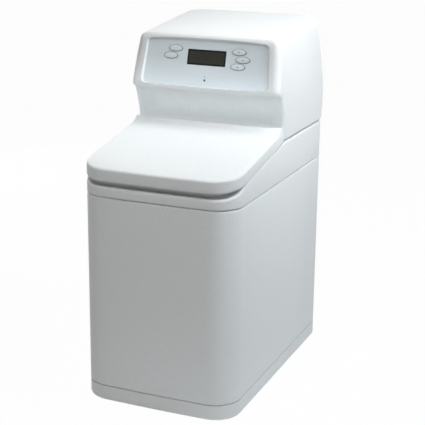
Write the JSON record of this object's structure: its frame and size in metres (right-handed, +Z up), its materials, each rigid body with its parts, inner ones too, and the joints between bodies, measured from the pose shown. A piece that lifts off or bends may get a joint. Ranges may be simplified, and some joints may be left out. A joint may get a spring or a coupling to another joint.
{
  "type": "cabinet water softener",
  "caption": "Compact white cabinet water softener with a sloping salt lid, a leaned control panel over a scoop, and tank, rotary valve and brine valve inside.",
  "frame": {"origin": "middle of the base's underside, on the floor", "axes": "+Z up, -Y out of the front, +X to the right of someone facing the front"},
  "size_m": [0.29, 0.496, 0.6514],
  "materials": {
    "white_plastic": "finely grained moulded white plastic",
    "panel_plastic": "satin pale blue-grey plastic",
    "lens": "smooth dark display lens",
    "tank_plastic": "wound resin pressure shell, satin",
    "black_plastic": "moulded glass-filled plastic",
    "natural_plastic": "unpigmented moulded plastic",
    "blue_plastic": "moulded low-friction plastic",
    "steel": "stainless steel",
    "brass": "turned brass",
    "resin": "bed of fine amber beads, drawn solid",
    "board": "circuit board with solder mask",
    "seal": "moulded seal rubber",
    "tube": "translucent polyethylene tube",
    "float_foam": "closed-cell float"
  },
  "bodies": {
    "cabinet": {"base_tray": "white_plastic", "salt_cabinet": "white_plastic", "rim": "white_plastic", "hinge_brackets": "white_plastic", "resin_tank": "tank_plastic", "resin_bed": "resin", "riser_tube": "natural_plastic", "top_distributor": "natural_plastic", "bottom_distributor": "natural_plastic", "neck_clamp": "black_plastic", "clamp_bolts": "steel", "neck_o_ring": "seal", "valve_body": "black_plastic", "rotor_seal": "seal", "wave_washer": "steel", "valve_cover": "black_plastic", "valve_screws": "steel", "motor_mount": "steel", "drive_motor": "steel", "motor_screws": "steel", "position_switch": "black_plastic", "venturi_housing": "black_plastic", "venturi_cap": "black_plastic", "nozzle_venturi": "blue_plastic", "turbine_support": "natural_plastic", "flow_sensor": "black_plastic", "drain_elbow": "black_plastic", "brine_tube": "tube", "brinewell": "natural_plastic", "brinewell_cap": "natural_plastic", "brine_valve": "natural_plastic", "float_stem": "steel", "overflow_elbow": "black_plastic", "overflow_grommet": "seal"},
    "lid": {"salt_lid": "white_plastic", "hinge_pins": "steel"},
    "cover": {"top_cover": "white_plastic", "faceplate": "panel_plastic", "display_window": "lens", "lcd_module": "black_plastic", "control_board": "board", "key_switches": "black_plastic", "board_screws": "steel", "status_led": "black_plastic", "power_jack": "black_plastic"},
    "rotor": {"rotor_disc": "blue_plastic", "cam_gear": "natural_plastic", "gear_screw": "steel"},
    "pinion": {"motor_pinion": "brass"},
    "turbine": {"flow_turbine": "blue_plastic"},
    "float": {"brine_float": "float_foam"},
    "up_button_body": {"up_button": "panel_plastic"},
    "select_button_body": {"select_button": "panel_plastic"},
    "down_button_body": {"down_button": "panel_plastic"},
    "menu_button_body": {"menu_button": "panel_plastic"},
    "recharge_button_body": {"recharge_button": "panel_plastic"}
  },
  "joints": [
    {"name": "lid_hinge", "type": "hinge", "parent": "cabinet", "child": "lid", "pos_m": [0, -0.003, 0.46806], "axis": [-1, 0, 0], "range_deg": [0, 72]},
    {"name": "cover_lift", "type": "slide", "parent": "cabinet", "child": "cover", "axis": [0, 0, 1], "range_m": [0, 0.25]},
    {"name": "rotor_turn", "type": "hinge", "parent": "cabinet", "child": "rotor", "pos_m": [0, 0.1267, 0.519], "axis": [0, 0, 1], "continuous": true},
    {"name": "pinion_turn", "type": "hinge", "parent": "cabinet", "child": "pinion", "pos_m": [0, 0.0817, 0.519], "axis": [0, 0, 1], "continuous": true},
    {"name": "turbine_spin", "type": "hinge", "parent": "cabinet", "child": "turbine", "pos_m": [0.034, 0.219, 0.4897], "axis": [0, 1, 0], "continuous": true},
    {"name": "float_rise", "type": "slide", "parent": "cabinet", "child": "float", "axis": [0, 0, 1], "range_m": [0, 0.06]},
    {"name": "up_press", "type": "slide", "parent": "cover", "child": "up_button_body", "axis": [0, 0.9715, -0.2368], "range_m": [0, 0.0008], "stiffness_N_per_m": 400, "springref_m": -0.0005},
    {"name": "select_press", "type": "slide", "parent": "cover", "child": "select_button_body", "axis": [0, 0.9715, -0.2368], "range_m": [0, 0.0008], "stiffness_N_per_m": 400, "springref_m": -0.0005},
    {"name": "down_press", "type": "slide", "parent": "cover", "child": "down_button_body", "axis": [0, 0.9715, -0.2368], "range_m": [0, 0.0008], "stiffness_N_per_m": 400, "springref_m": -0.0005},
    {"name": "menu_press", "type": "slide", "parent": "cover", "child": "menu_button_body", "axis": [0, 0.9715, -0.2368], "range_m": [0, 0.0008], "stiffness_N_per_m": 400, "springref_m": -0.0005},
    {"name": "recharge_press", "type": "slide", "parent": "cover", "child": "recharge_button_body", "axis": [0, 0.9715, -0.2368], "range_m": [0, 0.0008], "stiffness_N_per_m": 400, "springref_m": -0.0005}
  ],
  "couplings": [
    {"joint": "pinion_turn", "follows": "rotor_turn", "ratio": -3.5}
  ]
}
